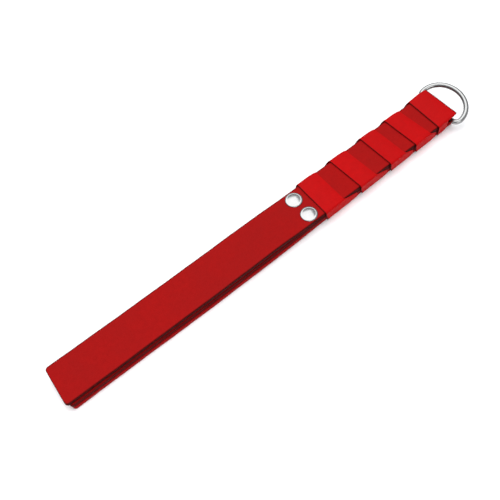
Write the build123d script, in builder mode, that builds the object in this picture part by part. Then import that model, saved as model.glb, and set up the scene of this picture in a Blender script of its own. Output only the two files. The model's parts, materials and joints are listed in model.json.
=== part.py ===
from build123d import *
from math import cos, radians, sqrt
import os

os.makedirs("parts", exist_ok=True)

# Layered leather strap paddle with a tape-wrapped grip and a D-ring.
# +X runs from the free tip to the ring, +Y across the strap, +Z up.
# The origin is the middle of the footprint, on the surface it rests on.

# ---- driving dimensions, mm ----
STRAP_WIDTH = 30.0
STRAP_THICK = 2.8
BLADE_LENGTH = 200.0     # tip edge to the rivets
GRIP_LENGTH = 132.5      # rivets to the ring bar
TIP_SLANT = 1.5          # the tip end leans this far from square, each side
TIP_RADIUS = 2.5
BUTT_RADIUS = 2.0
EDGE_ROUND = 0.5

HANGER_THICK = 0.9
HANGER_SKIVED = HANGER_THICK / 2     # the hanger ends are pared down under the rivets
HANGER_WIDTH = 0.8 * STRAP_WIDTH

TAPE_THICK = 0.8
TAPE_ROUND = 0.7

RIVET_SPACING = 0.52 * STRAP_WIDTH
RIVET_CAP_RADIUS = 6.25
RIVET_CAP_HEIGHT = 1.5
RIVET_BACK_HEIGHT = TAPE_THICK       # the back caps rest level with the tape
RIVET_SHEET = 0.3
POST_RADIUS = 1.6
POST_WALL = 0.4
SOCKET_WALL = 0.3
RIVET_FIT = 0.03

WIRE_RADIUS = 1.9
RING_SIDE_CLEAR = 1.3    # wire to the tape at each side of the grip
RING_HALF_WIDTH = STRAP_WIDTH / 2 + TAPE_THICK + RING_SIDE_CLEAR + WIRE_RADIUS
RING_DEPTH = 19.9        # bar axis to the wire centre line of the bow
RING_CORNER = 4.5
RING_LEAN = 18.0         # degrees the bow stands up from level
LOOP_CLEAR = 0.3

FLEX_GAP = 0.3           # space between a free leaf and its fixed part
LEAF_GAP = 0.3           # space between the leaves near the tip

# ---- stations along the strap, from the middle of the tip edge ----
X_SETTLE = 0.55 * BLADE_LENGTH       # the leaves lie flat from the tip to here
X_BULGE = 0.75 * BLADE_LENGTH
X_RIVET = BLADE_LENGTH
X_FLEX = X_RIVET - 10.0
X_HANGER_END = X_RIVET - 6.0
X_SKIVE = X_RIVET + 7.0
X_GRIP = X_RIVET + 13.0
X_BAR = X_RIVET + GRIP_LENGTH
X_MIDDLE_END = X_BAR - WIRE_RADIUS - 2.6
X_RISE = X_MIDDLE_END - 10.0
X_BUTT = X_BAR + WIRE_RADIUS + LOOP_CLEAR + HANGER_THICK + 0.1

# ---- heights in the grip, mm above the resting surface ----
Z_BOTTOM = TAPE_THICK
Z_LOWER_LEG = Z_BOTTOM + STRAP_THICK
Z_MIDDLE = Z_LOWER_LEG + HANGER_THICK
Z_UPPER_LEG = Z_MIDDLE + STRAP_THICK
Z_TOP = Z_UPPER_LEG + HANGER_THICK
Z_BAR = Z_LOWER_LEG + HANGER_THICK + LOOP_CLEAR + WIRE_RADIUS
RISE = 2 * (WIRE_RADIUS + LOOP_CLEAR) - STRAP_THICK

# the same heights at the rivets, where the hanger is pared down
Z_MIDDLE_RIV = Z_LOWER_LEG + HANGER_SKIVED
Z_UPPER_RIV = Z_MIDDLE_RIV + STRAP_THICK
Z_TOP_RIV = Z_UPPER_RIV + HANGER_SKIVED

# and near the tip, where the leaves rest on one another
Z_MIDDLE_TIP = STRAP_THICK + LEAF_GAP
Z_TOP_TIP = Z_MIDDLE_TIP + STRAP_THICK + LEAF_GAP
BULGE = 0.95             # the top leaf stands this much off the middle one

# the origin is half way along the whole part
RING_END = X_BAR + RING_DEPTH * cos(radians(RING_LEAN)) + WIRE_RADIUS
TIP_SLOPE = 2 * TIP_SLANT / STRAP_WIDTH
TIP_END = TIP_RADIUS * (TIP_SLOPE + sqrt(1 + TIP_SLOPE ** 2) - 1) - TIP_SLANT
MID_LENGTH = (TIP_END + RING_END) / 2

X_FAR = X_BAR + 60.0
CUT_HEIGHT = 40.0


def along(x):
    """Station from the tip edge to the shared frame."""
    return x - MID_LENGTH


bottom_line = [(-5.0, 0.0), (X_SETTLE, 0.0), (X_FLEX, Z_BOTTOM), (X_FAR, Z_BOTTOM)]
middle_line = [(-5.0, Z_MIDDLE_TIP), (X_SETTLE, Z_MIDDLE_TIP),
               (X_FLEX, Z_MIDDLE_RIV), (X_SKIVE, Z_MIDDLE_RIV),
               (X_GRIP, Z_MIDDLE), (X_FAR, Z_MIDDLE)]
Z_BULGE = (Z_MIDDLE_TIP + Z_MIDDLE_RIV) / 2 + STRAP_THICK + BULGE
top_line = [(-5.0, Z_TOP_TIP), (X_SETTLE / 2, Z_TOP_TIP),
            (X_SETTLE, (Z_TOP_TIP + Z_BULGE) / 2), (X_BULGE, Z_BULGE),
            (X_FLEX, Z_TOP_RIV), (X_SKIVE, Z_TOP_RIV), (X_GRIP, Z_TOP),
            (X_RISE, Z_TOP), (X_MIDDLE_END, Z_TOP + RISE), (X_FAR, Z_TOP + RISE)]


def clip_line(line, x0, x1):
    """The part of a height line between two stations, ends interpolated."""
    def height(x):
        for (xa, za), (xb, zb) in zip(line, line[1:]):
            if xa <= x <= xb:
                return za + (zb - za) * (x - xa) / (xb - xa)
        return line[-1][1]
    inner = [(x, z) for x, z in line if x0 < x < x1]
    return [(x0, height(x0))] + inner + [(x1, height(x1))]


def band_profile(low, high):
    """Side outline between two height lines over the same stations."""
    pts = [(along(x), z) for x, z in low] + [(along(x), z) for x, z in reversed(high)]
    with BuildSketch(Plane.XZ) as side:
        with BuildLine():
            Polyline(*pts, close=True)
        make_face()
    return side.sketch


def raised(line, by):
    return [(x, z + by) for x, z in line]


def strap_side(line, x0, x1):
    """Side outline of a leather strap between two stations."""
    low = clip_line(line, x0, x1)
    return band_profile(low, raised(low, STRAP_THICK))


def tip_outline():
    """Plan outline with the slanted tip end and its two rounded corners."""
    half = STRAP_WIDTH / 2
    with BuildSketch(Plane.XY.offset(-CUT_HEIGHT / 2)) as outline:
        with BuildLine():
            Polyline((along(TIP_SLANT), half), (along(-TIP_SLANT), -half),
                     (along(X_FAR), -half), (along(X_FAR), half), close=True)
        make_face()
        fillet(outline.vertices().sort_by(Axis.X)[:2], radius=TIP_RADIUS)
    return outline.sketch


def butt_outline(x_end):
    """Plan outline with two rounded corners at the ring end."""
    half = STRAP_WIDTH / 2
    with BuildSketch(Plane.XY.offset(-CUT_HEIGHT / 2)) as outline:
        with BuildLine():
            Polyline((along(-5.0), half), (along(-5.0), -half),
                     (along(x_end), -half), (along(x_end), half), close=True)
        make_face()
        fillet(outline.vertices().sort_by(Axis.X)[-2:], radius=BUTT_RADIUS)
    return outline.sketch


def rivet_places():
    return [(along(X_RIVET), side * RIVET_SPACING / 2) for side in (-1, 1)]


HOLE_RADIUS = POST_RADIUS + RIVET_FIT + SOCKET_WALL


def rivet_circles(radius, z):
    with BuildSketch(Plane.XY.offset(z)) as circles:
        with Locations(*rivet_places()):
            Circle(radius)
    return circles.sketch


def long_edges(part, half):
    """The edges that run along the sides of a strap or a wrap."""
    return [e for e in part.edges()
            if abs(abs(e.center().Y) - half) < 0.01 and abs(e.tangent_at(0.5).X) > 0.9]


# ---- leather straps ----
SIDE = STRAP_WIDTH / 2

with BuildPart() as top_strap_leaf:
    extrude(strap_side(top_line, -5.0, X_FLEX - FLEX_GAP / 2), amount=SIDE, both=True)
    fillet(long_edges(top_strap_leaf, SIDE), radius=EDGE_ROUND)
    extrude(tip_outline(), amount=CUT_HEIGHT, mode=Mode.INTERSECT)

with BuildPart() as top_strap_grip:
    extrude(strap_side(top_line, X_FLEX + FLEX_GAP / 2, X_BUTT), amount=SIDE, both=True)
    extrude(butt_outline(X_BUTT), amount=CUT_HEIGHT, mode=Mode.INTERSECT)
    extrude(rivet_circles(HOLE_RADIUS, -1.0), amount=CUT_HEIGHT, mode=Mode.SUBTRACT)

with BuildPart() as middle_strap:
    extrude(strap_side(middle_line, -5.0, X_MIDDLE_END), amount=SIDE, both=True)
    extrude(tip_outline(), amount=CUT_HEIGHT, mode=Mode.INTERSECT)
    extrude(rivet_circles(HOLE_RADIUS, -1.0), amount=CUT_HEIGHT, mode=Mode.SUBTRACT)

with BuildPart() as bottom_strap_leaf:
    extrude(strap_side(bottom_line, -5.0, X_FLEX - FLEX_GAP / 2), amount=SIDE, both=True)
    fillet(long_edges(bottom_strap_leaf, SIDE), radius=EDGE_ROUND)
    extrude(tip_outline(), amount=CUT_HEIGHT, mode=Mode.INTERSECT)

with BuildPart() as bottom_strap_grip:
    extrude(strap_side(bottom_line, X_FLEX + FLEX_GAP / 2, X_BUTT), amount=SIDE, both=True)
    extrude(butt_outline(X_BUTT), amount=CUT_HEIGHT, mode=Mode.INTERSECT)
    extrude(rivet_circles(HOLE_RADIUS, -1.0), amount=CUT_HEIGHT, mode=Mode.SUBTRACT)

# ---- hanger strap, folded round the ring bar ----
LOOP_INNER = WIRE_RADIUS + LOOP_CLEAR
LOOP_OUTER = LOOP_INNER + HANGER_THICK
lower_leg_low = [(X_HANGER_END, Z_LOWER_LEG), (X_BAR, Z_LOWER_LEG)]
lower_leg_high = clip_line(middle_line, X_HANGER_END, X_BAR)
upper_leg_low = raised(clip_line(middle_line, X_HANGER_END, X_RISE), STRAP_THICK) + [
    (X_MIDDLE_END, Z_UPPER_LEG + RISE), (X_BAR, Z_UPPER_LEG + RISE)]
upper_leg_high = clip_line(top_line, X_HANGER_END, X_BAR)

with BuildPart() as hanger_strap:
    with BuildSketch(Plane.XZ):
        with Locations((along(X_BAR), Z_BAR)):
            Circle(LOOP_OUTER)
            Circle(LOOP_INNER, mode=Mode.SUBTRACT)
        with Locations((along(X_BAR) - LOOP_OUTER / 2, Z_BAR)):
            Rectangle(LOOP_OUTER, 2 * LOOP_OUTER, mode=Mode.SUBTRACT)
    extrude(amount=HANGER_WIDTH / 2, both=True)
    extrude(band_profile(lower_leg_low, lower_leg_high), amount=HANGER_WIDTH / 2, both=True)
    extrude(band_profile(upper_leg_low, upper_leg_high), amount=HANGER_WIDTH / 2, both=True)
    extrude(rivet_circles(HOLE_RADIUS, -1.0), amount=CUT_HEIGHT, mode=Mode.SUBTRACT)

# ---- grip tape, one length wound along the grip ----
# Each row is the front run of one turn: start and end at +Y, then at -Y,
# measured from the rivets on a grip of the length named in WRAP_BASE.
WRAP_BASE = 132.5
WRAP_ROWS = [
    (9.6, 26.6, 8.4, 25.6),
    (39.9, 55.0, 40.8, 56.3),
    (69.2, 83.4, 69.5, 84.3),
    (93.5, 108.2, 94.4, 110.0),
    (118.6, 136.0, 117.4, 136.0),
]
TURNS = [tuple(X_RIVET + x * GRIP_LENGTH / WRAP_BASE for x in row) for row in WRAP_ROWS]
TURNS[-1] = (TURNS[-1][0], X_BUTT, TURNS[-1][2], X_BUTT)
WALL_END = X_BAR - WIRE_RADIUS - 2.1  # beyond this the ring wire leaves at the sides
Z_HALF = (Z_BOTTOM + Z_TOP + STRAP_THICK) / 2
OUTER_HALF = SIDE + TAPE_THICK
REACH = OUTER_HALF + 1.0


def wrap_quads():
    """Plan outlines of the tape runs: in front, then behind."""
    front = []
    for start_far, end_far, start_near, end_near in TURNS:
        front.append([(start_far, REACH), (end_far, REACH),
                      (end_near, -REACH), (start_near, -REACH)])
    first, last = TURNS[0], TURNS[-1]
    behind = [[(first[0], REACH), (first[1], REACH), (first[1], 0.0), (first[0], 0.0)],
              [(last[2], -REACH), (WALL_END, -REACH), (WALL_END, 0.0), (last[2], 0.0)]]
    for turn, after in zip(TURNS, TURNS[1:]):
        far_end = min(after[1], WALL_END)
        behind.append([(turn[2], -REACH), (turn[3], -REACH), (turn[3], -SIDE),
                       (far_end, SIDE), (far_end, REACH),
                       (after[0], REACH), (after[0], SIDE), (turn[2], -SIDE)])
    return front, behind


def plan_polygon(points, z):
    with BuildSketch(Plane.XY.offset(z)) as outline:
        with BuildLine():
            Polyline(*[(along(x), y) for x, y in points], close=True)
        make_face()
    return outline.sketch


with BuildPart() as wrap_path:
    front_runs, back_runs = wrap_quads()
    for run in front_runs:
        extrude(plan_polygon(run, Z_HALF), amount=CUT_HEIGHT)
    for run in back_runs:
        extrude(plan_polygon(run, Z_HALF), amount=-CUT_HEIGHT)

tape_low = [(X_SKIVE, 0.0), (X_BUTT, 0.0)]
tape_high = raised(clip_line(top_line, X_SKIVE, X_BUTT), STRAP_THICK)

with BuildPart() as grip_tape:
    extrude(band_profile(tape_low, raised(tape_high, TAPE_THICK)), amount=OUTER_HALF, both=True)
    fillet(long_edges(grip_tape, OUTER_HALF), radius=TAPE_ROUND)
    extrude(band_profile(raised(tape_low, Z_BOTTOM), tape_high),
            amount=SIDE, both=True, mode=Mode.SUBTRACT)
    add(wrap_path.part, mode=Mode.INTERSECT)
    with Locations((along(WALL_END), SIDE, 0), (along(WALL_END), -SIDE - 10.0, 0)):
        Box(30, 10, 2 * CUT_HEIGHT, align=(Align.MIN, Align.MIN, Align.CENTER),
            mode=Mode.SUBTRACT)

# ---- double-cap rivets: cap and post in front, socket and cap behind ----
Z_RIVET_TOP = Z_TOP_RIV + STRAP_THICK
SKIRT = 0.3              # straight share of the cap height at its rim
DISC_CLEAR = 0.03        # from the disc beneath a cap to the start of its dome


def spin(points, arcs):
    """Half section about each rivet axis; arcs name a middle point by index."""
    solids = []
    for x, y in rivet_places():
        with BuildPart() as turned:
            with BuildSketch(Plane(origin=(x, y, 0), x_dir=(1, 0, 0), z_dir=(0, -1, 0))):
                with BuildLine():
                    ring = points + points[:1]
                    for i, (p, q) in enumerate(zip(ring, ring[1:])):
                        if i in arcs:
                            ThreePointArc(p, arcs[i], q)
                        else:
                            Line(p, q)
                make_face()
            revolve(axis=Axis((x, y, 0), (0, 0, 1)))
        solids.append(turned.part)
    return solids


def crown_point(radius, crown, rim):
    """Middle of a dome's arc, level where it crosses the rivet axis."""
    fall = crown - rim
    bend = (radius * radius + fall * fall) / (2 * fall)
    return radius / 2, crown - (bend - (bend * bend - radius * radius / 4) ** 0.5)


def cap_shell(z_flat, rise, out):
    """Pressed cap, domed, closed down round the rim of the disc beneath it."""
    r_out = RIVET_CAP_RADIUS
    r_in = RIVET_CAP_RADIUS - RIVET_SHEET
    rim = max(SKIRT * rise, RIVET_SHEET + DISC_CLEAR)
    under = rise - RIVET_SHEET
    outer_r, outer_z = crown_point(r_out, rise, rim)
    inner_r, inner_z = crown_point(r_in, under, rim)
    points = [
        (0.0, z_flat + out * rise),
        (r_out, z_flat + out * rim),
        (r_out, z_flat),
        (r_in, z_flat),
        (r_in, z_flat + out * rim),
        (0.0, z_flat + out * under),
    ]
    arcs = {0: (outer_r, z_flat + out * outer_z), 4: (inner_r, z_flat + out * inner_z)}
    return spin(points, arcs)


def stem(z_disc, z_end, out, r_out, r_in):
    """Disc under a cap with the tube that goes through the leather."""
    disc_r = RIVET_CAP_RADIUS - RIVET_SHEET - RIVET_FIT
    face = z_disc + out * RIVET_SHEET
    points = [(r_in, face), (disc_r, face), (disc_r, z_disc),
              (r_out, z_disc), (r_out, z_end), (r_in, z_end)]
    return spin(points, {})


with BuildPart() as rivet_caps_front:
    add(cap_shell(Z_RIVET_TOP, RIVET_CAP_HEIGHT, 1))

with BuildPart() as rivet_caps_back:
    add(cap_shell(Z_BOTTOM, RIVET_BACK_HEIGHT, -1))

with BuildPart() as rivet_posts:
    add(stem(Z_RIVET_TOP, Z_BOTTOM + RIVET_SHEET, 1, POST_RADIUS, POST_RADIUS - POST_WALL))

SOCKET_INNER = POST_RADIUS + RIVET_FIT
with BuildPart() as rivet_sockets:
    add(stem(Z_BOTTOM, Z_RIVET_TOP - RIVET_SHEET, -1, HOLE_RADIUS, SOCKET_INNER))

# ---- D-ring, bent from one wire, standing up a little from its bar ----
ring_plane = Plane(origin=(along(X_BAR), 0, Z_BAR)).rotated((0, -RING_LEAN, 0))
BAR_HALF = RING_HALF_WIDTH - RING_CORNER

with BuildPart() as d_ring:
    with BuildLine(ring_plane) as wire:
        Line((0, 0), (0, BAR_HALF))
        RadiusArc((0, BAR_HALF), (RING_CORNER, RING_HALF_WIDTH), RING_CORNER)
        EllipticalCenterArc((RING_CORNER, 0), RING_DEPTH - RING_CORNER, RING_HALF_WIDTH,
                            start_angle=-90, arc_size=180)
        RadiusArc((RING_CORNER, -RING_HALF_WIDTH), (0, -BAR_HALF), RING_CORNER)
        Line((0, -BAR_HALF), (0, 0))
    with BuildSketch(Plane(origin=ring_plane.origin, z_dir=(0, 1, 0))):
        Circle(WIRE_RADIUS)
    sweep(path=wire.wires()[0])

pieces = {
    "top_strap_leaf": top_strap_leaf,
    "top_strap_grip": top_strap_grip,
    "middle_strap": middle_strap,
    "bottom_strap_leaf": bottom_strap_leaf,
    "bottom_strap_grip": bottom_strap_grip,
    "hanger_strap": hanger_strap,
    "grip_tape": grip_tape,
    "rivet_caps_front": rivet_caps_front,
    "rivet_posts": rivet_posts,
    "rivet_sockets": rivet_sockets,
    "rivet_caps_back": rivet_caps_back,
    "d_ring": d_ring,
}
for name, piece in pieces.items():
    piece.part.label = name
    export_step(piece.part, f"parts/{name}.step")
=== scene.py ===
import json
import math

import bmesh
import bpy
from bpy.props import FloatProperty, FloatVectorProperty, IntProperty, PointerProperty
from mathutils import Matrix, Vector


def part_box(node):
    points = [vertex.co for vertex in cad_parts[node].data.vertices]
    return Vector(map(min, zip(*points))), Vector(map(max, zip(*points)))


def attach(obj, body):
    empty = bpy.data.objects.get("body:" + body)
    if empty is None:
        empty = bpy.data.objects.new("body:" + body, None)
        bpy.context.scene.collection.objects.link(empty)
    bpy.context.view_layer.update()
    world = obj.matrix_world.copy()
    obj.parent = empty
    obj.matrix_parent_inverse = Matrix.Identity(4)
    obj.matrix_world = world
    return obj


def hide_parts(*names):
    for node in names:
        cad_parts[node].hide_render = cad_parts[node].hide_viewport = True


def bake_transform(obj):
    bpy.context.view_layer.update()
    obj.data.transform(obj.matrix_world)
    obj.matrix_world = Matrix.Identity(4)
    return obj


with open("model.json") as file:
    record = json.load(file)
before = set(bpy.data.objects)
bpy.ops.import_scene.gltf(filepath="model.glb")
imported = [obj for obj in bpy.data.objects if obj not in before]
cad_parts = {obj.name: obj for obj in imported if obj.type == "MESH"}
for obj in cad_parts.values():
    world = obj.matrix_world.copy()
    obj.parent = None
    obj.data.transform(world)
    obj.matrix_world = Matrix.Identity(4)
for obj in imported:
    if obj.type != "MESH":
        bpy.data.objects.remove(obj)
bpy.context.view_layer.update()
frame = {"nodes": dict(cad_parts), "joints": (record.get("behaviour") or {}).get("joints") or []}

bl_info = {
    "name": "Layered Strap Paddle",
    "version": (1, 0, 0),
    "blender": (4, 5, 0),
    "location": "3D View > Sidebar > Strap Paddle",
    "description": "Builds a layered leather strap paddle with a wound grip and a D-ring",
    "category": "Add Mesh",
}

MM = 0.001

# Places read from the imported part: joints give the ring bar.
JOINTS = {j["name"]: j for j in frame["joints"]}
BAR_X, _, BAR_Z = JOINTS["ring_swing"]["pos_m"]
RIVET_LOW, RIVET_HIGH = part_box("rivet_caps_front")
BACK_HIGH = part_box("rivet_caps_back")[1]
RIVET_X = (RIVET_LOW.x + RIVET_HIGH.x) / 2
BLADE_LENGTH = 200 * MM             # tip edge to the rivets
TIP_X = RIVET_X - BLADE_LENGTH      # middle of the tip edge
RING_LOW, RING_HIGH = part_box("d_ring")

# Stations along the part, mm from the tip edge.
GRIP_STATION = 250      # well inside the grip
STRAP_END = 335.6       # the outer straps end past the ring bar
MIDDLE_END = 328.0      # the middle strap ends before it


def at(x_mm):
    """Station in millimetres from the tip edge to the shared frame, in metres."""
    return TIP_X + x_mm * MM


# ---------------------------------------------------------------- settings

def length(name, text, value, low=0.0, high=1.0):
    return FloatProperty(name=name, description=text, default=value, min=low, max=high,
                         subtype="DISTANCE", unit="LENGTH", precision=5)


def colour(name, text, value):
    return FloatVectorProperty(name=name, description=text, default=value, size=3,
                               subtype="COLOR", min=0.0, max=1.0)


class StrapSettings(bpy.types.PropertyGroup):
    width: length("Strap width", "Width of the leather straps", 30.0 * MM)
    thickness: length("Strap thickness", "Thickness of one strap", 2.8 * MM)
    edge_round: length("Edge rounding", "Rounding of the cut edges", 0.55 * MM)
    tip_slant: length("Tip slant", "How far the tip end leans each side", 1.5 * MM)
    tip_radius: length("Tip corner", "Corner radius at the tip", 2.5 * MM)
    butt_radius: length("Ring end corner", "Corner radius at the ring end", 2.0 * MM)
    leather: colour("Leather", "Colour of the strap leather", (0.312, 0.0036, 0.0033))
    edge: colour("Cut edge", "Colour of the burnished cut edges", (0.170, 0.0030, 0.0035))


class WrapSettings(bpy.types.PropertyGroup):
    thickness: length("Tape thickness", "Thickness of the grip tape", 0.70 * MM)
    lead: length("Side lead", "How far the tape runs on along each side", 13.0 * MM)
    flare: length("Flare", "How far the front runs stand out past the strap", 0.28 * MM)
    crown: length("Crown", "How far the tape bulges across its width", 0.03 * MM)
    curl: length("Edge curl", "How far the leading edge stands off the grip", 0.38 * MM)
    tape: colour("Tape", "Colour of the grip tape", (0.418, 0.0020, 0.0026))


class MetalSettings(bpy.types.PropertyGroup):
    cap_rise: length("Cap height", "Height of a front rivet cap", 1.5 * MM)
    back_rise: length("Back cap height", "Height of a back rivet cap", 0.8 * MM)
    wire: length("Wire radius", "Radius of the ring wire", 1.9 * MM)
    segments: IntProperty(name="Segments", description="Segments round a cap",
                          default=72, min=12, max=200)
    nickel: colour("Cap nickel", "Colour of the plated caps", (0.31, 0.31, 0.307))
    ring: colour("Ring nickel", "Colour of the plated ring", (0.29, 0.29, 0.286))


# ---------------------------------------------------------------- small tools

def settings(name):
    return getattr(bpy.context.scene, name)


def finish_piece(obj, body, slot, *nodes):
    """A finished piece rides on its body and stands for its CAD nodes."""
    if not obj.data.polygons:
        raise RuntimeError(f"{obj.name} came out empty")
    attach(obj, body)
    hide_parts(*nodes)


def new_object(name, mesh):
    obj = bpy.data.objects.new(name, mesh)
    bpy.context.scene.collection.objects.link(obj)
    return obj


def shade_smooth(mesh, angle=None):
    mesh.polygons.foreach_set("use_smooth", [True] * len(mesh.polygons))
    if angle is not None:
        mesh.set_sharp_from_angle(angle=angle)
    mesh.update()


def smooth_line(keys):
    """Monotone cubic through (x, z) keys, so a strap eases without ripples."""
    xs = [k[0] for k in keys]
    zs = [k[1] for k in keys]
    rise = [(zs[i + 1] - zs[i]) / (xs[i + 1] - xs[i]) for i in range(len(xs) - 1)]
    slope = [rise[0]]
    for a, b in zip(rise, rise[1:]):
        slope.append(0.0 if a * b <= 0 else 2 * a * b / (a + b))
    slope.append(rise[-1])

    def height(x):
        if x <= xs[0]:
            return zs[0]
        if x >= xs[-1]:
            return zs[-1]
        i = max(k for k in range(len(xs) - 1) if xs[k] <= x)
        h = xs[i + 1] - xs[i]
        t = (x - xs[i]) / h
        return ((2 * t ** 3 - 3 * t ** 2 + 1) * zs[i] + (t ** 3 - 2 * t ** 2 + t) * h * slope[i]
                + (3 * t ** 2 - 2 * t ** 3) * zs[i + 1] + (t ** 3 - t ** 2) * h * slope[i + 1])
    return height


# Undersides of the three straps along their length, millimetres.
LINES = {
    "bottom": smooth_line([(-5, 0), (70, 0), (110, 0.02), (190, 0.8), (400, 0.8)]),
    "middle": smooth_line([(-5, 3.1), (70, 3.1), (110, 3.12), (190, 4.0), (206, 4.05),
                           (214, 4.5), (400, 4.5)]),
    "top": smooth_line([(-5, 6.2), (40, 6.22), (110, 6.8), (150, 7.4), (172, 7.6),
                        (190, 7.32), (206, 7.3), (214, 8.2), (316, 8.2), (329, 9.8),
                        (400, 9.8)]),
}


# ---------------------------------------------------------------- materials

class Shader:
    """A short hand for wiring one procedural material."""

    def __init__(self, name):
        self.mat = bpy.data.materials.new(name)
        self.mat.use_nodes = True
        self.nodes = self.mat.node_tree.nodes
        self.links = self.mat.node_tree.links
        self.bsdf = self.nodes["Principled BSDF"]
        self.place = self.nodes.new("ShaderNodeTexCoord").outputs["Object"]

    def node(self, kind, **values):
        made = self.nodes.new(kind)
        for key, value in values.items():
            if hasattr(made, key):
                setattr(made, key, value)
            else:
                made.inputs[key.replace("_", " ").title()].default_value = value
        return made

    def join(self, a, b):
        self.links.new(a, b)

    def noise(self, scale, detail=3.0, roughness=0.5, stretch=(1, 1, 1)):
        mapping = self.node("ShaderNodeMapping")
        mapping.inputs["Scale"].default_value = stretch
        self.join(self.place, mapping.inputs["Vector"])
        n = self.node("ShaderNodeTexNoise")
        n.inputs["Scale"].default_value = scale
        n.inputs["Detail"].default_value = detail
        n.inputs["Roughness"].default_value = roughness
        self.join(mapping.outputs["Vector"], n.inputs["Vector"])
        return n.outputs["Fac"]

    def cells(self, scale, feature="F1"):
        v = self.node("ShaderNodeTexVoronoi")
        v.feature = feature
        v.inputs["Scale"].default_value = scale
        self.join(self.place, v.inputs["Vector"])
        return v.outputs["Distance"]

    def span(self, source, low, high, out_low, out_high):
        m = self.node("ShaderNodeMapRange")
        for key, value in (("From Min", low), ("From Max", high),
                           ("To Min", out_low), ("To Max", out_high)):
            m.inputs[key].default_value = value
        self.join(source, m.inputs["Value"])
        return m.outputs["Result"]

    def mix(self, factor, a, b, blend="MIX"):
        m = self.node("ShaderNodeMix")
        m.data_type = "RGBA"
        m.blend_type = blend
        if isinstance(factor, float):
            m.inputs["Factor"].default_value = factor
        else:
            self.join(factor, m.inputs["Factor"])
        for key, value in (("A", a), ("B", b)):
            socket = [s for s in m.inputs if s.name == key and s.type == "RGBA"][0]
            if isinstance(value, tuple):
                socket.default_value = (*value, 1.0)
            else:
                self.join(value, socket)
        return [s for s in m.outputs if s.type == "RGBA"][0]

    def maths(self, operation, a, b):
        m = self.node("ShaderNodeMath")
        m.operation = operation
        for socket, value in zip(m.inputs, (a, b)):
            if isinstance(value, (int, float)):
                socket.default_value = value
            else:
                self.join(value, socket)
        return m.outputs[0]

    def bump(self, height, strength, distance, over=None):
        b = self.node("ShaderNodeBump")
        b.inputs["Strength"].default_value = strength
        b.inputs["Distance"].default_value = distance
        self.join(height, b.inputs["Height"])
        if over is not None:
            self.join(over, b.inputs["Normal"])
        return b.outputs["Normal"]

    def attribute(self, name):
        a = self.node("ShaderNodeAttribute")
        a.attribute_name = name
        return a.outputs["Fac"]


def shade(c, by):
    return tuple(min(1.0, v * by) for v in c)


def leather_finish(name, base, edge, grain=1.0, rough=(0.50, 0.62)):
    """Dyed leather: fine pebbled grain, cloudy tone, light wear, and edges blended to the given
    edge colour; callers put painted shade and light into that colour, over the burnished edge
    colour for the straps.
    """
    s = Shader(name)
    cloud = s.noise(26.0, 4.0, 0.55)
    mottle = s.noise(310.0, 5.0, 0.6)
    tone = s.mix(s.span(cloud, 0.35, 0.65, 0.0, 1.0), shade(base, 0.93), shade(base, 1.07))
    tone = s.mix(s.span(mottle, 0.30, 0.72, 0.0, 0.5), tone, shade(base, 0.82))
    pebble = s.cells(1150.0, "DISTANCE_TO_EDGE")
    creases = s.span(pebble, 0.0, 0.16, 1.0, 0.0)
    tone = s.mix(s.maths("MULTIPLY", creases, 0.30 * grain), tone, shade(base, 0.62))
    # rim blends in the edge colour, which holds painted shade and light where the caller put them
    # in
    rim = s.attribute("rim")
    fray = s.noise(620.0, 4.0, 0.65, (1, 1, 2.5))
    ragged = s.span(s.maths("ADD", rim, s.maths("MULTIPLY", fray, 0.5)), 0.62, 1.05, 0.0, 1.0)
    tone = s.mix(ragged, tone, edge)
    scuff = s.attribute("wear")
    worn = s.maths("MULTIPLY", scuff, s.span(fray, 0.42, 0.62, 0.0, 0.55))
    tone = s.mix(worn, tone, shade(base, 1.45))
    s.join(tone, s.bsdf.inputs["Base Color"])
    polish = s.maths("ADD", s.span(cloud, 0.3, 0.7, rough[0], rough[1]),
                     s.maths("MULTIPLY", creases, 0.10))
    s.join(polish, s.bsdf.inputs["Roughness"])
    s.bsdf.inputs["Specular IOR Level"].default_value = 0.05
    grain_bump = s.bump(s.span(pebble, 0.0, 0.30, 0.0, 1.0), 0.34 * grain, 0.00010)
    fine = s.noise(3400.0, 4.0, 0.6)
    grain_bump = s.bump(fine, 0.22 * grain, 0.00005, grain_bump)
    waves = s.noise(70.0, 2.0, 0.5)
    s.join(s.bump(waves, 0.30, 0.0005, grain_bump), s.bsdf.inputs["Normal"])
    return s.mat


def nickel_finish(name, base, rough=0.10, brushed=0.0, marked=0.06):
    """Bright nickel plate: fine polishing marks, faint cloudiness and hairline wear."""
    s = Shader(name)
    cloud = s.noise(240.0, 3.0, 0.5)
    marks = s.noise(900.0, 3.0, 0.6, (1.0, 6.0, 1.0))
    tone = s.mix(s.span(cloud, 0.35, 0.65, 0.0, 1.0), shade(base, 0.95), shade(base, 1.03))
    s.join(tone, s.bsdf.inputs["Base Color"])
    s.bsdf.inputs["Metallic"].default_value = 1.0
    polish = s.maths("ADD", s.span(cloud, 0.3, 0.7, rough * 0.8, rough * 1.3),
                     s.span(marks, 0.45, 0.75, 0.0, 0.05 + brushed))
    s.join(polish, s.bsdf.inputs["Roughness"])
    s.join(s.bump(marks, marked + brushed, 0.00003), s.bsdf.inputs["Normal"])
    return s.mat


def plain_finish(name, base, rough):
    s = Shader(name)
    fleck = s.noise(40.0, 2.0, 0.5)
    s.join(s.mix(fleck, shade(base, 0.995), base), s.bsdf.inputs["Base Color"])
    s.bsdf.inputs["Roughness"].default_value = rough
    s.bsdf.inputs["Specular IOR Level"].default_value = 0.2
    return s.mat


# ---------------------------------------------------------------- leather straps

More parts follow.
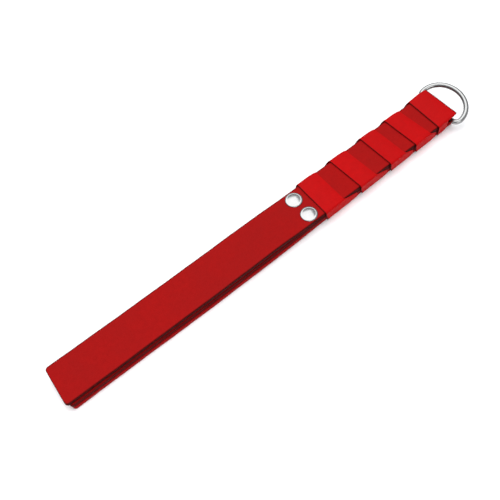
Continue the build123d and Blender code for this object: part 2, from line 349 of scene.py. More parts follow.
def plan_rows(x_end, inset, width, slant, r_tip, r_butt):
    """Rows of (left, right) outline points from the tip to the ring end, one inset in."""
    half = width / 2 - inset
    rows = []
    slope = 2 * slant / width
    lean = math.atan(slope)
    grow = inset * math.sqrt(1 + slope * slope)
    radius = max(r_tip - inset, 0.02)
    steps = 7

    def end_x(y):
        return slope * y + grow

    corner_left = Vector((0, half - radius))
    corner_left.x = end_x(half - radius) + radius * math.sqrt(1 + slope * slope)
    corner_right = Vector((0, -half + radius))
    corner_right.x = end_x(-half + radius) + radius * math.sqrt(1 + slope * slope)
    for k in range(steps + 1):
        t = k / steps
        a = math.pi + (-math.pi / 2 - lean) * t - lean
        b = math.pi + (math.pi / 2 - lean) * t - lean
        left = corner_left + radius * Vector((math.cos(a), math.sin(a)))
        right = corner_right + radius * Vector((math.cos(b), math.sin(b)))
        rows.append((left, right))
    start_left, start_right = rows[-1]
    butt_r = max(r_butt - inset, 0.02)
    stop = x_end - inset - butt_r
    count = max(8, int((stop - 8) / 1.9))
    for k in range(1, count + 1):
        t = k / count
        rows.append((Vector((start_left.x + (stop - start_left.x) * t, half)),
                     Vector((start_right.x + (stop - start_right.x) * t, -half))))
    for k in range(1, steps + 1):
        a = math.pi / 2 * (1 - k / steps)
        dx, dy = butt_r * math.cos(a), butt_r * (math.sin(a) - 1)
        rows.append((Vector((stop + dx, half + dy)), Vector((stop + dx, -half - dy))))
    return rows


def edge_wander(x, side, seed):
    """Hand-cut edges are never dead straight: a tenth of a millimetre of drift."""
    return (0.07 * math.sin(x * 0.061 + seed + side) + 0.05 * math.sin(x * 0.173 + 2.3 * seed)
            + 0.025 * math.sin(x * 0.51 + 4.1 * seed - side))


def drift_line(at_tip, at_flex, at_grip, at_butt):
    """A sideways set of a strap, nearly nothing where the rivets hold it."""
    return smooth_line([(-5, at_tip), (60, 0.5 * at_flex + 0.5 * at_tip),
                        (120, at_flex), (160, at_flex), (196, 0.3 * at_grip),
                        (216, at_grip), (330, at_butt)])


# Sideways set of each strap along the blade, and how far its tip end sits back, mm.
SETS = {
    "bottom": (drift_line(-0.1, -0.7, 0.6, 1.6), 2.0),
    "middle": (drift_line(0.3, 0.1, 0.3, 1.2), 1.4),
    "top": (drift_line(1.5, 0.45, 0.0, 0.8), -0.5),
}


def strap_mesh(name, kind, x_end, seed, cfg, across=18):
    """A leather strap as one closed skin with rounded, slightly uneven edges."""
    line, (sway, tip_back) = LINES[kind], SETS[kind]
    width, thick = cfg.width / MM, cfg.thickness / MM
    r = cfg.edge_round / MM
    slant, r_tip, r_butt = cfg.tip_slant / MM, cfg.tip_radius / MM, cfg.butt_radius / MM
    rim = [(r, thick)]
    for k in range(1, 4):
        a = math.pi / 2 * k / 3
        rim.append((r - r * math.sin(a), thick - r + r * math.cos(a)))
    rim += [(0.0, thick * 0.5)]
    rim += [(d, thick - h) for d, h in reversed(rim[:4])]

    bm = bmesh.new()
    rim_layer = bm.verts.layers.float.new("rim")
    wear_layer = bm.verts.layers.float.new("wear")

    def point(p, h, rim_value, wear_value):
        x, y = p.x, p.y
        side = 1 if y > 0 else -1
        drift = edge_wander(x, side, seed) * min(1.0, abs(y) / (width / 2)) ** 2
        y += drift * side + sway(x)
        x += tip_back * max(0.0, 1 - x / 40.0) ** 2
        z = line(x) + h + 0.035 * math.sin(x * 0.083 + seed) * math.sin(y * 0.21 + seed)
        v = bm.verts.new((at(x), y * MM, max(z, 0.0) * MM))
        v[rim_layer] = rim_value
        v[wear_layer] = wear_value
        return v

    def grid(inset, h):
        rows = plan_rows(x_end, inset, width, slant, r_tip, r_butt)
        out = []
        for left, right in rows:
            row = []
            for j in range(across + 1):
                t = j / across
                edge_near = min(t, 1 - t) * width
                value = 0.62 if j in (0, across) else 0.0
                wear = 0.4 * max(0.0, 1 - edge_near / 1.4)
                row.append(point(left.lerp(right, t), h, value, wear))
            out.append(row)
        return out

    def border(rows):
        """The outline of a grid as one loop."""
        loop = [row[0] for row in rows]
        loop += rows[-1][1:-1]
        loop += [row[-1] for row in reversed(rows)]
        loop += list(reversed(rows[0][1:-1]))
        return loop

    top = grid(r, thick)
    low = grid(r, 0.0)
    for rows, up in ((top, True), (low, False)):
        for a, b in zip(rows, rows[1:]):
            for j in range(across):
                face = (a[j], a[j + 1], b[j + 1], b[j])
                bm.faces.new(face if up else tuple(reversed(face)))
    loops = [border(top)]
    for d, h in rim[1:-1]:
        rows = plan_rows(x_end, d, width, slant, r_tip, r_butt)
        ring = [left for left, _ in rows]
        left, right = rows[-1]
        ring += [left.lerp(right, j / across) for j in range(1, across)]
        ring += [right for _, right in reversed(rows)]
        left, right = rows[0]
        ring += [right.lerp(left, j / across) for j in range(1, across)]
        mid = 1.0 - abs(h / thick - 0.5) * 0.5
        wear = 0.3 if abs(h / thick - 0.5) > 0.3 else 0.05
        loops.append([point(p, h, mid, wear) for p in ring])
    loops.append(border(low))
    for a, b in zip(loops, loops[1:]):
        n = len(a)
        for i in range(n):
            j = (i + 1) % n
            bm.faces.new((a[i], b[i], b[j], a[j]))
    bmesh.ops.recalc_face_normals(bm, faces=bm.faces)
    mesh = bpy.data.meshes.new(name)
    bm.to_mesh(mesh)
    bm.free()
    shade_smooth(mesh)
    return mesh


class STRAP_OT_leather_straps(bpy.types.Operator):
    """Makes the three leather straps; the middle one rides on the grip, the outer two are baked
    in place
    """
    bl_idname = "strap_paddle.leather_straps"
    bl_label = "Leather straps"

    def execute(self, context):
        cfg = settings("strap_leather")
        # Each strap's cut edge is the burnished edge colour with painted light and shade mixed
        # in. The top and middle straps' edges are painted darker for the shade on their sides and
        # in the gaps between the straps. The bottom strap's edge is painted lighter for the light
        # it catches.
        finish = {kind: leather_finish(kind + "_strap_leather", tuple(cfg.leather),
                                       shade(cfg.edge, painted_edge_shading))
                  for kind, painted_edge_shading in (("top", 0.12), ("middle", 0.30), ("bottom", 1.6))}
        middle = new_object("middle_leather", strap_mesh(
            "middle_leather", "middle", MIDDLE_END, 1.7, cfg))
        middle.data.materials.append(finish["middle"])
        finish_piece(middle, "grip", "leather", "middle_strap")
        outer = (
            ("top_leather", "top", "top_leaf", 0.4, "top_strap_grip", "top_strap_leaf"),
            ("bottom_leather", "bottom", "bottom_leaf", 3.1, "bottom_strap_grip",
             "bottom_strap_leaf"),
        )
        for name, kind, body, seed, *nodes in outer:
            strap = new_object(name, strap_mesh(name, kind, STRAP_END, seed, cfg))
            strap.data.materials.append(finish[kind])
            if not strap.data.polygons:
                raise RuntimeError(f"{name} came out empty")
            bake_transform(strap)
            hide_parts(*nodes)
        return {"FINISHED"}


# ---------------------------------------------------------------- strips that follow a path

def dress(tree, source, geometry, outlet):
    """Ends a tree: real geometry in the finish asked for, sent to the outlet."""
    nodes, links = tree.nodes, tree.links
    real = nodes.new("GeometryNodeRealizeInstances")
    links.new(geometry, real.inputs["Geometry"])
    coat = nodes.new("GeometryNodeSetMaterial")
    links.new(real.outputs["Geometry"], coat.inputs["Geometry"])
    links.new(source.outputs["Finish"], coat.inputs["Material"])
    links.new(coat.outputs["Geometry"], outlet)


def strip_tree():
    """Geometry Nodes: a flat strip with rounded edges laid along a path of its own."""
    tree = bpy.data.node_groups.new("strip_along_path", "GeometryNodeTree")
    face = tree.interface
    face.new_socket("Path", in_out="INPUT", socket_type="NodeSocketGeometry")
    socket = face.new_socket("Thickness", in_out="INPUT", socket_type="NodeSocketFloat")
    socket.default_value = 0.001
    socket = face.new_socket("Edge share", in_out="INPUT", socket_type="NodeSocketFloat")
    socket.default_value = 0.08
    face.new_socket("Taper", in_out="INPUT", socket_type="NodeSocketFloat")
    face.new_socket("Curl", in_out="INPUT", socket_type="NodeSocketFloat")
    face.new_socket("Finish", in_out="INPUT", socket_type="NodeSocketMaterial")
    face.new_socket("Strip", in_out="OUTPUT", socket_type="NodeSocketGeometry")
    nodes, links = tree.nodes, tree.links
    source = nodes.new("NodeGroupInput")
    target = nodes.new("NodeGroupOutput")

    def named(name, kind="FLOAT_VECTOR"):
        n = nodes.new("GeometryNodeInputNamedAttribute")
        n.data_type = kind
        n.inputs["Name"].default_value = name
        return n.outputs["Attribute"]

    def scaled(vector, by):
        n = nodes.new("ShaderNodeVectorMath")
        n.operation = "SCALE"
        links.new(vector, n.inputs[0])
        links.new(by, n.inputs["Scale"])
        return n.outputs["Vector"]

    def summed(a, b):
        n = nodes.new("ShaderNodeVectorMath")
        n.operation = "ADD"
        links.new(a, n.inputs[0])
        links.new(b, n.inputs[1])
        return n.outputs["Vector"]

    rail = nodes.new("GeometryNodeMeshToCurve")
    links.new(source.outputs["Path"], rail.inputs["Mesh"])

    # section: x runs -1..1 across the strip, y runs -1..1 through its thickness
    section = nodes.new("GeometryNodeCurvePrimitiveQuadrilateral")
    section.inputs["Width"].default_value = 2.0
    section.inputs["Height"].default_value = 2.0
    even = nodes.new("GeometryNodeResampleCurve")
    even.inputs["Count"].default_value = 64
    links.new(section.outputs["Curve"], even.inputs["Curve"])
    where = nodes.new("GeometryNodeInputPosition")
    store = nodes.new("GeometryNodeStoreNamedAttribute")
    store.data_type = "FLOAT_VECTOR"
    store.domain = "POINT"
    store.inputs["Name"].default_value = "section"
    links.new(even.outputs["Curve"], store.inputs["Geometry"])
    links.new(where.outputs["Position"], store.inputs["Value"])

    body = nodes.new("GeometryNodeCurveToMesh")
    body.inputs["Fill Caps"].default_value = True
    links.new(rail.outputs["Curve"], body.inputs["Curve"])
    links.new(store.outputs["Geometry"], body.inputs["Profile Curve"])

    split = nodes.new("ShaderNodeSeparateXYZ")
    links.new(named("section"), split.inputs["Vector"])

    def maths(operation, a, b=None, clamp=False):
        n = nodes.new("ShaderNodeMath")
        n.operation = operation
        n.use_clamp = clamp
        for socket, value in zip(n.inputs, (a, b)):
            if value is None:
                continue
            if isinstance(value, (int, float)):
                socket.default_value = value
            else:
                links.new(value, socket)
        return n.outputs[0]

    u, v = split.outputs["X"], split.outputs["Y"]
    # rounded long edges: the thickness falls off as a quarter circle near |u| = 1
    away = maths("SUBTRACT", 1.0, maths("ABSOLUTE", u))
    share = maths("SUBTRACT", 1.0, maths("DIVIDE", away, source.outputs["Edge share"]), True)
    round_off = maths("SQRT", maths("SUBTRACT", 1.0, maths("MULTIPLY", maths(
        "MULTIPLY", share, share), 0.86)))
    half = maths("MULTIPLY", source.outputs["Thickness"], 0.5)
    # the trailing edge is pared thin from its outer face, the leading edge stands off
    trail = maths("MAXIMUM", u, 0.0)
    body_share = maths("SUBTRACT", 1.0, maths("MULTIPLY", source.outputs["Taper"],
                                              maths("MULTIPLY", trail, trail)))
    lift = maths("MULTIPLY", maths("MULTIPLY", v, half), maths("MULTIPLY", round_off, body_share))
    lift = maths("SUBTRACT", lift, maths("MULTIPLY", half, maths("SUBTRACT", 1.0, body_share)))
    lead = maths("MAXIMUM", maths("MULTIPLY", u, -1.0), 0.0)
    stand = maths("POWER", lead, 5.0)
    lift = maths("ADD", lift, maths("MULTIPLY", source.outputs["Curl"], stand))
    hump = maths("SUBTRACT", 1.0, maths("MULTIPLY", u, u))
    place = summed(named("spine"), scaled(named("across"), u))
    place = summed(place, scaled(named("hump"), hump))
    place = summed(place, scaled(named("outward"), lift))
    move = nodes.new("GeometryNodeSetPosition")
    links.new(body.outputs["Mesh"], move.inputs["Geometry"])
    links.new(place, move.inputs["Position"])

    # rim marks where the finish's edge colour goes, along each run's leading edge; on the tape
    # this is a painted shadow line under the edge that stands off
    rim = nodes.new("GeometryNodeStoreNamedAttribute")
    rim.data_type = "FLOAT"
    rim.domain = "POINT"
    rim.inputs["Name"].default_value = "rim"
    links.new(move.outputs["Geometry"], rim.inputs["Geometry"])
    # a cut end gets painted shade along its trailing edge, where its rounding turns away, four
    # times as broad as a run's edge
    broad = maths("SUBTRACT", 1.0, maths("DIVIDE", away, maths(
        "MULTIPLY", source.outputs["Edge share"], 4.0)), True)
    painted_end_shade = maths("MULTIPLY", maths("MULTIPLY", broad, named("cut_end", "FLOAT")),
                    maths("GREATER_THAN", u, 0.0))
    links.new(maths("MAXIMUM", maths("MULTIPLY", share, stand), painted_end_shade), rim.inputs["Value"])
    dress(tree, source, rim.outputs["Geometry"], target.inputs["Strip"])
    return tree


def run_tree(name, base, tree, **values):
    """Runs a tree on a base mesh and returns the result as a plain mesh object."""
    carrier = new_object(name + "_base", base)
    modifier = carrier.modifiers.new("build", "NODES")
    modifier.node_group = tree
    keys = {item.name: item.identifier for item in tree.interface.items_tree
            if item.item_type == "SOCKET" and item.in_out == "INPUT"}
    for key, value in values.items():
        modifier[keys[key.replace("_", " ")]] = value
    depsgraph = bpy.context.evaluated_depsgraph_get()
    mesh = bpy.data.meshes.new_from_object(carrier.evaluated_get(depsgraph),
                                           preserve_all_data_layers=True, depsgraph=depsgraph)
    bpy.data.objects.remove(carrier)
    mesh.name = name
    if not mesh.polygons:
        raise RuntimeError(f"{name}: the node tree made nothing")
    return new_object(name, mesh)


def outward_faces(mesh, merge=0.0):
    bm = bmesh.new()
    bm.from_mesh(mesh)
    if merge:
        bmesh.ops.remove_doubles(bm, verts=bm.verts, dist=merge)
    bmesh.ops.recalc_face_normals(bm, faces=bm.faces)
    bm.to_mesh(mesh)
    bm.free()


def path_mesh(name, points):
    """A path whose points carry their strip: spine, half width, hump, outward, cut end."""
    mesh = bpy.data.meshes.new(name)
    mesh.from_pydata([p["spine"] for p in points],
                     [(i, i + 1) for i in range(len(points) - 1)], [])
    for key in ("spine", "across", "hump", "outward"):
        layer = mesh.attributes.new(key, "FLOAT_VECTOR", "POINT")
        layer.data.foreach_set("vector", [c for p in points for c in p[key]])
    cut = mesh.attributes.new("cut_end", "FLOAT", "POINT")
    cut.data.foreach_set("value", [p.get("cut_end", 0.0) for p in points])
    return mesh


# Front runs of the tape: start and end at +Y, then at -Y, mm from the tip edge.
WRAP_ROWS = [
    (209.6, 226.6, 208.4, 225.6),
    (239.9, 255.0, 240.8, 256.3),
    (269.2, 283.4, 269.5, 284.3),
    (293.5, 308.2, 294.4, 310.0),
    (318.6, 336.0, 317.4, 336.0),
]
WALL_END = 328.3        # beyond this the ring wire leaves at the sides


def wound_path(cfg, width, thick):
    """Points along the middle of the tape as it goes round and round the grip."""
    t = cfg.thickness / MM
    lead = cfg.lead / MM
    half = width / 2 + t / 2 + 0.02
    flare = cfg.flare / MM
    corner, low_corner = 0.9, 1.3
    z_low = LINES["bottom"](GRIP_STATION) - t / 2

    def top_height(x):
        return LINES["top"](x) + thick + t / 2

    def leaned(station, z):
        """The winding lies over the sideways set of the straps beneath it."""
        low, high = SETS["bottom"][0](station), SETS["top"][0](station)
        share = (z - z_low) / (top_height(station) - z_low)
        return low + (high - low) * max(0.0, min(1.0, share))

    def section(station, frac):
        """(y, z, ny, nz) at a share of one side: top, near wall, under, far wall."""
        zt = top_height(station)
        zb = z_low
        if frac < 1:
            return _run(frac, half + flare, zt, corner)
        if frac < 2:
            return _wall(frac - 1, zt, zb, -1)
        if frac < 3:
            y, z, ny, _ = _run(1 - (frac - 2), half, zb, low_corner)
            return y, z, ny, -1.0
        return _wall(1 - (frac - 3), zt, zb, 1)

    def _run(frac, half_y, z, r):
        return half_y - r - frac * 2 * (half_y - r), z, 0.0, 1.0

    def _wall(frac, zt, zb, side):
        """Down one wall with its two rounded corners; frac 0 is at the top."""
        arc, low_arc = math.pi / 2 * corner, math.pi / 2 * low_corner
        drop = zt - zb - corner - low_corner
        total = arc + low_arc + drop
        s = frac * total
        if s < arc:
            a = s / corner
            return side * (half + flare - corner + corner * math.sin(a)), \
                zt - corner + corner * math.cos(a), side * math.sin(a), math.cos(a)
        if s > total - low_arc:
            a = (total - s) / low_corner
            return side * (half - low_corner + low_corner * math.sin(a)), \
                zb + low_corner - low_corner * math.cos(a), side * math.sin(a), -math.cos(a)
        down = (s - arc) / drop
        return side * (half + flare * (1 - down)), zt - corner - (s - arc), float(side), 0.0

    def keyed(keys, f):
        for (fa, a, b), (fb, c, d) in zip(keys, keys[1:]):
            if fa <= f <= fb:
                k = (f - fa) / (fb - fa)
                return a + (c - a) * k, b + (d - b) * k
        return keys[-1][1:]

    points = []
    last = len(WRAP_ROWS) - 1
    keys = [(-1.5, WRAP_ROWS[0][0] - 9.0, WRAP_ROWS[0][1] - 9.0),
            (-1.0, WRAP_ROWS[0][0] - 0.2 * lead, WRAP_ROWS[0][1] - lead)]
    for n, (a, b, c, d) in enumerate(WRAP_ROWS):
        f = 4.0 * n
        if n < last:
            after = WRAP_ROWS[n + 1]
            room = after[2] - d
            keys += [(f, a, b), (f + 1, c, d), (f + 1.12, c, d + 0.15 * room),
                     (f + 1.38, c + 0.3, d + 0.80 * room), (f + 1.85, c + 2.0, d + 0.97 * room),
                     (f + 2, c + 0.3 * lead, d + room)]
            stop = after[1] - lead if n + 1 < last else WALL_END - 1.5
            keys += [(f + 3, after[0] - lead, stop)]
            if n + 1 == last:
                keys += [(f + 3.84, after[0] - 0.16 * lead, WALL_END),
                         (f + 3.86, after[0] - 0.14 * lead, after[1])]
        else:
            keys += [(f, a, b), (f + 1, c, d), (f + 1.14, c + 0.2, d),
                     (f + 1.16, c + 0.2, WALL_END), (f + 1.85, c + 1.2, WALL_END),
                     (f + 2, c + 2.4, WALL_END), (f + 2.5, c + 5.5, WALL_END)]
    f = keys[0][0]
    stop = keys[-1][0]
    steps = {0: 14, 1: 14, 2: 12, 3: 14}
    stations = []
    while f < stop - 1e-6:
        stations.append(f)
        f += 1.0 / steps[int(math.floor(f)) % 4]
    stations.append(stop)
    stations = sorted({round(f, 6) for f in stations + [key[0] for key in keys]})
    for f in stations:
        x0, x1 = keyed(keys, f)
        local = f % 4
        xm = (x0 + x1) / 2
        y0, z0, ny, nz = section(x0, local)
        y1, z1, _, _ = section(x1, local)
        ym, zm, _, _ = section(xm, local)
        bow = Vector((0.0, ym - (y0 + y1) / 2, zm - (z0 + z1) / 2))
        crown = cfg.crown / MM
        outward = Vector((0.0, ny, nz)).normalized()
        y0, y1 = y0 + leaned(x0, z0), y1 + leaned(x1, z1)
        p0, p1 = Vector((at(x0), y0 * MM, z0 * MM)), Vector((at(x1), y1 * MM, z1 * MM))
        points.append({
            "spine": (p0 + p1) / 2,
            "across": (p1 - p0) / 2,
            "hump": (bow + outward * crown) * MM,
            "outward": outward,
            "cut_end": float(x1 > WALL_END + 1.0),
        })
    return points


class STRAP_OT_grip_tape(bpy.types.Operator):
    """Winds one length of leather tape round the grip"""
    bl_idname = "strap_paddle.grip_tape"
    bl_label = "Grip tape"

    def execute(self, context):
        cfg, leather = settings("strap_wrap"), settings("strap_leather")
        points = wound_path(cfg, leather.width / MM, leather.thickness / MM)
        # the tape's edge colour is near black: a painted shadow line along the leading edge of
        # each run
        finish = leather_finish("tape_leather", tuple(cfg.tape), shade(cfg.tape, 0.12),
                                grain=0.35, rough=(0.46, 0.56))
        tape = run_tree("wound_tape", path_mesh("tape_path", points), strip_tree(),
                        Thickness=cfg.thickness, Edge_share=0.035, Taper=0.72,
                        Curl=cfg.curl, Finish=finish)
        outward_faces(tape.data)
        shade_smooth(tape.data, math.radians(50))
        finish_piece(tape, "grip", "wrap", "grip_tape")
        return {"FINISHED"}


HANGER_THICK = 0.9 * MM
HANGER_LOOP = (2.2 + 0.45) * MM     # the room round the bar and half the thickness
HANGER_FROM, HANGER_TO = 194, 326.0     # its pared end, and where the fold begins, mm
PARED_TO = 206                          # half as thick up to here, under the rivets
LEG_STEPS, FOLD_STEPS = 40, 24


def hanger_share(x_mm):
    return 0.5 if x_mm < PARED_TO else 1.0


class STRAP_OT_hanger(bpy.types.Operator):
    """Folds the hanger strap round the ring bar, with its pared ends under the rivets"""
    bl_idname = "strap_paddle.hanger"
    bl_label = "Hanger strap"

    def execute(self, context):
        cfg = settings("strap_leather")
        low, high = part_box("hanger_strap")
        half = (high.y - low.y) / 2
        thick, loop = HANGER_THICK, HANGER_LOOP
        z_low = LINES["bottom"](GRIP_STATION) * MM + cfg.thickness
        points = []

        def add(x, z, nx, nz):
            points.append({"spine": (x, 0.0, z), "across": (0.0, half, 0.0),
                           "hump": (0.0, 0.0, 0.0), "outward": (nx, 0.0, nz)})

        for k in range(LEG_STEPS + 1):
            x_mm = HANGER_FROM + (HANGER_TO - HANGER_FROM) * k / LEG_STEPS
            add(at(x_mm), z_low + thick * 0.5 * hanger_share(x_mm), 0.0, -1.0)
        for k in range(FOLD_STEPS + 1):
            a = -math.pi / 2 + math.pi * k / FOLD_STEPS
            add(BAR_X + loop * math.cos(a), BAR_Z + loop * math.sin(a), math.cos(a), math.sin(a))
        for k in range(LEG_STEPS + 1):
            x_mm = HANGER_TO - (HANGER_TO - HANGER_FROM) * k / LEG_STEPS
            z = LINES["top"](x_mm) * MM - thick * 0.5 * hanger_share(x_mm)
            add(at(x_mm), min(z, BAR_Z + loop), 0.0, 1.0)
        finish = leather_finish("hanger_leather", shade(cfg.leather, 1.05), tuple(cfg.edge))
        strap = run_tree("hanger_leather", path_mesh("hanger_path", points), strip_tree(),
                         Thickness=thick, Edge_share=0.05, Finish=finish)
        outward_faces(strap.data)
        shade_smooth(strap.data, math.radians(50))
        finish_piece(strap, "grip", "leather", "hanger_strap")
        return {"FINISHED"}


# ---------------------------------------------------------------- metal

def lathe(profile, segments, up):
    """A turned mesh about Z from (radius, height) pairs, its pole closed."""
    bm = bmesh.new()
    verts = [bm.verts.new((r, 0.0, h * up)) for r, h in profile]
    edges = [bm.edges.new(pair) for pair in zip(verts, verts[1:])]
    bmesh.ops.spin(bm, geom=verts + edges, cent=(0, 0, 0), axis=(0, 0, 1),
                   angle=2 * math.pi, steps=segments, use_merge=True)
    bmesh.ops.remove_doubles(bm, verts=bm.verts, dist=1e-7)
    bmesh.ops.recalc_face_normals(bm, faces=bm.faces)
    mesh = bpy.data.meshes.new("turned")
    bm.to_mesh(mesh)
    bm.free()
    shade_smooth(mesh, math.radians(60))
    return mesh


def stud_tree(shape):
    """Geometry Nodes: the same turned piece set down on every point."""
    tree = bpy.data.node_groups.new("studs_on_points", "GeometryNodeTree")
    face = tree.interface
    face.new_socket("Places", in_out="INPUT", socket_type="NodeSocketGeometry")
    socket = face.new_socket("Size", in_out="INPUT", socket_type="NodeSocketFloat")
    socket.default_value = 1.0
    face.new_socket("Finish", in_out="INPUT", socket_type="NodeSocketMaterial")
    face.new_socket("Studs", in_out="OUTPUT", socket_type="NodeSocketGeometry")
    nodes, links = tree.nodes, tree.links
    source = nodes.new("NodeGroupInput")
    target = nodes.new("NodeGroupOutput")
    piece = nodes.new("GeometryNodeObjectInfo")
    piece.inputs["Object"].default_value = shape
    points = nodes.new("GeometryNodeMeshToPoints")
    links.new(source.outputs["Places"], points.inputs["Mesh"])
    put = nodes.new("GeometryNodeInstanceOnPoints")
    links.new(points.outputs["Points"], put.inputs["Points"])
    links.new(piece.outputs["Geometry"], put.inputs["Instance"])
    links.new(source.outputs["Size"], put.inputs["Scale"])
    dress(tree, source, put.outputs["Instances"], target.inputs["Studs"])
    return tree


def cap_profile(radius, rise):
    """Half section of a pressed cap: a broad crown rolled over at the rim."""
    profile = [(0.0, rise)]
    shoulder = 0.78
    for k in range(1, 13):
        q = k / 12
        profile.append((radius * shoulder * q, rise * (1 - 0.42 * q ** 2)))
    for k in range(1, 11):
        a = math.pi / 2 * k / 10
        profile.append((radius * (shoulder + (1 - shoulder) * math.sin(a)),
                        rise * (0.18 + 0.40 * math.cos(a))))
    profile += [(radius, rise * 0.08), (radius * 0.985, 0.0), (radius * 0.90, 0.0),
                (radius * 0.90, rise * 0.12), (0.0, rise * 0.12)]
    return profile


CAP_TRIM = 0.975        # a pressed cap rolls in a little short of its full radius


class STRAP_OT_rivets(bpy.types.Operator):
    """Sets the domed rivet caps on the front and the back"""
    bl_idname = "strap_paddle.rivets"
    bl_label = "Rivet caps"

    def execute(self, context):
        cfg = settings("strap_metal")
        radius = (RIVET_HIGH.x - RIVET_LOW.x) / 2
        reach = (RIVET_HIGH.y - RIVET_LOW.y) / 2 - radius
        radius *= CAP_TRIM
        finish = nickel_finish("cap_nickel", tuple(cfg.nickel), rough=0.17, marked=0.01)
        sides = (("front_caps", "rivet_caps_front", RIVET_LOW.z, cfg.cap_rise, 1),
                 ("back_caps", "rivet_caps_back", BACK_HIGH.z, cfg.back_rise, -1))
        for name, node, z, rise, up in sides:
            shape = new_object(name + "_shape", lathe(cap_profile(radius, rise),
                                                      cfg.segments, up))
            places = bpy.data.meshes.new(name + "_places")
            places.from_pydata([(RIVET_X, -reach, z), (RIVET_X, reach, z)], [], [])
            caps = run_tree(name, places, stud_tree(shape), Size=1.0, Finish=finish)
            bpy.data.objects.remove(shape)
            outward_faces(caps.data)
            shade_smooth(caps.data, math.radians(60))
            finish_piece(caps, "grip", "cap", node)
        steel = nickel_finish("post_steel", (0.56, 0.56, 0.55), rough=0.28, brushed=0.12)
        for node in ("rivet_posts", "rivet_sockets"):
            mesh = frame["nodes"][node].data
            mesh.materials.clear()
            mesh.materials.append(steel)
        return {"FINISHED"}


def wire_tree():
    """Geometry Nodes: a round wire drawn along a closed path."""
    tree = bpy.data.node_groups.new("wire_along_path", "GeometryNodeTree")
    face = tree.interface
    face.new_socket("Path", in_out="INPUT", socket_type="NodeSocketGeometry")
    socket = face.new_socket("Radius", in_out="INPUT", socket_type="NodeSocketFloat")
    socket.default_value = 0.0019
    face.new_socket("Finish", in_out="INPUT", socket_type="NodeSocketMaterial")
    face.new_socket("Wire", in_out="OUTPUT", socket_type="NodeSocketGeometry")
    nodes, links = tree.nodes, tree.links
    source = nodes.new("NodeGroupInput")
    target = nodes.new("NodeGroupOutput")
    rail = nodes.new("GeometryNodeMeshToCurve")
    links.new(source.outputs["Path"], rail.inputs["Mesh"])
    section = nodes.new("GeometryNodeCurvePrimitiveCircle")
    section.inputs["Resolution"].default_value = 32
    links.new(source.outputs["Radius"], section.inputs["Radius"])
    body = nodes.new("GeometryNodeCurveToMesh")
    links.new(rail.outputs["Curve"], body.inputs["Curve"])
    links.new(section.outputs["Curve"], body.inputs["Profile Curve"])
    dress(tree, source, body.outputs["Mesh"], target.inputs["Wire"])
    return tree


RING_CORNER = 4.5 * MM


class STRAP_OT_ring(bpy.types.Operator):
    """Bends the D-ring from one round wire, standing up a little from its bar"""
    bl_idname = "strap_paddle.ring"
    bl_label = "D-ring"

    def execute(self, context):
        cfg = settings("strap_metal")
        half = (RING_HIGH.y - RING_LOW.y) / 2 - cfg.wire
        rise = RING_HIGH.z - cfg.wire - BAR_Z
        reach = RING_HIGH.x - cfg.wire - BAR_X
        depth = math.hypot(reach, rise)
        corner = RING_CORNER
        lean = math.asin(rise / depth)
        flat = []
        for k in range(12):
            flat.append((0.0, (half - corner) * (k / 12 * 2 - 1)))
        for k in range(8):
            a = math.pi / 2 * k / 8
            flat.append((corner - corner * math.cos(a), half - corner + corner * math.sin(a)))
        for k in range(97):
            a = math.pi / 2 - math.pi * k / 96
            flat.append((corner + (depth - corner) * math.cos(a), half * math.sin(a)))
        for k in range(1, 8):
            a = math.pi / 2 * (1 - k / 8)
            flat.append((corner - corner * math.cos(a), -half + corner - corner * math.sin(a)))
        points = [(BAR_X + x * math.cos(lean), y, BAR_Z + x * math.sin(lean)) for x, y in flat]
        path = bpy.data.meshes.new("ring_path")
        n = len(points)
        path.from_pydata(points, [(i, (i + 1) % n) for i in range(n)], [])
        finish = nickel_finish("ring_nickel", tuple(cfg.ring), rough=0.20, marked=0.02)
        ring = run_tree("d_ring_wire", path, wire_tree(), Radius=cfg.wire, Finish=finish)
        outward_faces(ring.data, 1e-7)
        shade_smooth(ring.data)
        finish_piece(ring, "ring", "ring", "d_ring")
        return {"FINISHED"}


# ---------------------------------------------------------------- stage

class StageSettings(bpy.types.PropertyGroup):
    lens: FloatProperty(name="Lens", description="Camera focal length", default=60.0,
                        min=10.0, max=300.0, unit="CAMERA")
    distance: length("Distance", "Camera to the point it looks at", 566.1 * MM, 0.0, 10.0)
    elevation: FloatProperty(name="Elevation", description="Camera height angle",
                             default=math.radians(57.86), subtype="ANGLE", unit="ROTATION")
    heading: FloatProperty(name="Heading", description="Turn of the view from the strap's +Y",
                           default=math.radians(32.97), subtype="ANGLE", unit="ROTATION")
    roll: FloatProperty(name="Roll", description="Tilt of the view about its own axis",
                        default=math.radians(7.70), subtype="ANGLE", unit="ROTATION")
    target_x: length("Target X", "Point looked at, from the tip", 155.37 * MM)
    target_y: length("Target Y", "Point looked at, across the strap", 2.25 * MM, -1.0, 1.0)
    floor: colour("Floor", "Colour of the floor", (1.0, 1.0, 1.0))


FLOOR_REACH = 6
FLOOR_Z = -0.0001       # a hair under the part, so that the two do not share a face


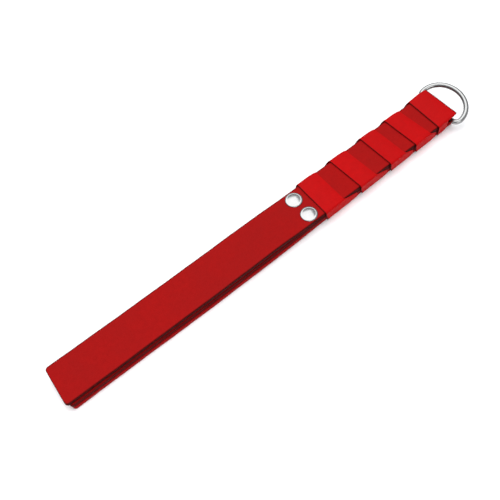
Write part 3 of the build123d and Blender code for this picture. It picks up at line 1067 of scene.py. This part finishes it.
class STRAP_OT_stage(bpy.types.Operator):
    """Lays the pale floor, the soft studio lights and the camera"""
    bl_idname = "strap_paddle.stage"
    bl_label = "Stage"

    def execute(self, context):
        cfg = settings("strap_stage")
        scene = context.scene
        mesh = bpy.data.meshes.new("floor")
        r, z = FLOOR_REACH, FLOOR_Z
        mesh.from_pydata([(-r, -r, z), (r, -r, z), (r, r, z), (-r, r, z)], [], [(0, 1, 2, 3)])
        floor = new_object("floor", mesh)
        mesh.materials.append(plain_finish("floor_paper", tuple(cfg.floor), 0.9))

        world = bpy.data.worlds.new("studio")
        world.use_nodes = True
        sky = world.node_tree.nodes
        wires = world.node_tree.links
        split = sky.new("ShaderNodeSeparateXYZ")
        ramp = sky.new("ShaderNodeMapRange")
        for key, value in (("From Min", 0.10), ("From Max", 0.92),
                           ("To Min", 0.22), ("To Max", 1.06)):
            ramp.inputs[key].default_value = value
        wires.new(sky.new("ShaderNodeTexCoord").outputs["Generated"], split.inputs["Vector"])
        wires.new(split.outputs["Z"], ramp.inputs["Value"])
        wires.new(ramp.outputs["Result"], sky["Background"].inputs["Strength"])
        sky["Background"].inputs["Color"].default_value = (0.94, 0.97, 1.0, 1)
        scene.world = world

        def softbox(name, place, aim, size, power, tint=(1, 1, 1)):
            lamp = bpy.data.lights.new(name, "AREA")
            lamp.shape = "RECTANGLE"
            lamp.size, lamp.size_y = size
            lamp.energy = power
            lamp.color = tint
            obj = bpy.data.objects.new(name, lamp)
            scene.collection.objects.link(obj)
            obj.location = place
            obj.rotation_euler = (Vector(aim) - Vector(place)).to_track_quat("-Z", "Y").to_euler()
            return obj

        softbox("key_softbox", (0.14, 0.50, 1.50), (0.0, 0.0, 0.0), (1.7, 1.7), 20.5)
        softbox("fill_softbox", (-0.45, -1.0, 0.75), (0.0, 0.0, 0.0), (0.8, 0.5), 5.0)

        turn, rise, roll = cfg.heading, cfg.elevation, cfg.roll
        right = Vector((math.cos(turn), -math.sin(turn), 0.0))
        flat = Vector((math.sin(turn), math.cos(turn), 0.0))
        forward = flat * math.cos(rise) - Vector((0, 0, 1)) * math.sin(rise)
        up = flat * math.sin(rise) + Vector((0, 0, 1)) * math.cos(rise)
        side = right * math.cos(roll) - up * math.sin(roll)
        head = right * math.sin(roll) + up * math.cos(roll)
        target = Vector((TIP_X + cfg.target_x, cfg.target_y, 0.0))
        lens = bpy.data.cameras.new("camera")
        lens.lens = cfg.lens
        lens.sensor_width = 36.0
        camera = bpy.data.objects.new("camera", lens)
        scene.collection.objects.link(camera)
        place = target - forward * cfg.distance
        camera.matrix_world = Matrix((
            (side.x, head.x, -forward.x, place.x),
            (side.y, head.y, -forward.y, place.y),
            (side.z, head.z, -forward.z, place.z),
            (0, 0, 0, 1)))
        scene.camera = camera
        scene.view_settings.view_transform = "Standard"
        scene.view_settings.look = "None"
        return {"FINISHED"}


# ---------------------------------------------------------------- panel and running

class STRAP_PT_panel(bpy.types.Panel):
    """Lists the pieces and the sizes and colours they are made with"""
    bl_idname = "STRAP_PT_panel"
    bl_label = "Strap Paddle"
    bl_space_type = "VIEW_3D"
    bl_region_type = "UI"
    bl_category = "Strap Paddle"

    def draw(self, context):
        for title, group in GROUPS.items():
            box = self.layout.box()
            box.label(text=title)
            data = getattr(context.scene, group[0])
            for key in data.bl_rna.properties.keys():
                if key not in {"rna_type", "name"}:
                    box.prop(data, key)
        for op in OPERATORS:
            self.layout.operator(op.bl_idname)


GROUPS = {
    "Leather": ("strap_leather", StrapSettings),
    "Grip tape": ("strap_wrap", WrapSettings),
    "Metal": ("strap_metal", MetalSettings),
    "Stage": ("strap_stage", StageSettings),
}
OPERATORS = [STRAP_OT_leather_straps, STRAP_OT_hanger, STRAP_OT_grip_tape,
             STRAP_OT_rivets, STRAP_OT_ring, STRAP_OT_stage]


def register():
    for name, cls in GROUPS.values():
        bpy.utils.register_class(cls)
        setattr(bpy.types.Scene, name, PointerProperty(type=cls))
    for cls in [*OPERATORS, STRAP_PT_panel]:
        bpy.utils.register_class(cls)


def unregister():
    for cls in [*OPERATORS, STRAP_PT_panel]:
        bpy.utils.unregister_class(cls)
    for name, cls in GROUPS.values():
        delattr(bpy.types.Scene, name)
        bpy.utils.unregister_class(cls)


def main():
    register()
    for step in (bpy.ops.strap_paddle.leather_straps, bpy.ops.strap_paddle.hanger,
                 bpy.ops.strap_paddle.grip_tape, bpy.ops.strap_paddle.rivets,
                 bpy.ops.strap_paddle.ring, bpy.ops.strap_paddle.stage):
        if step() != {"FINISHED"}:
            raise RuntimeError(f"{step} did not finish")


if __name__ == "__main__":
    main()
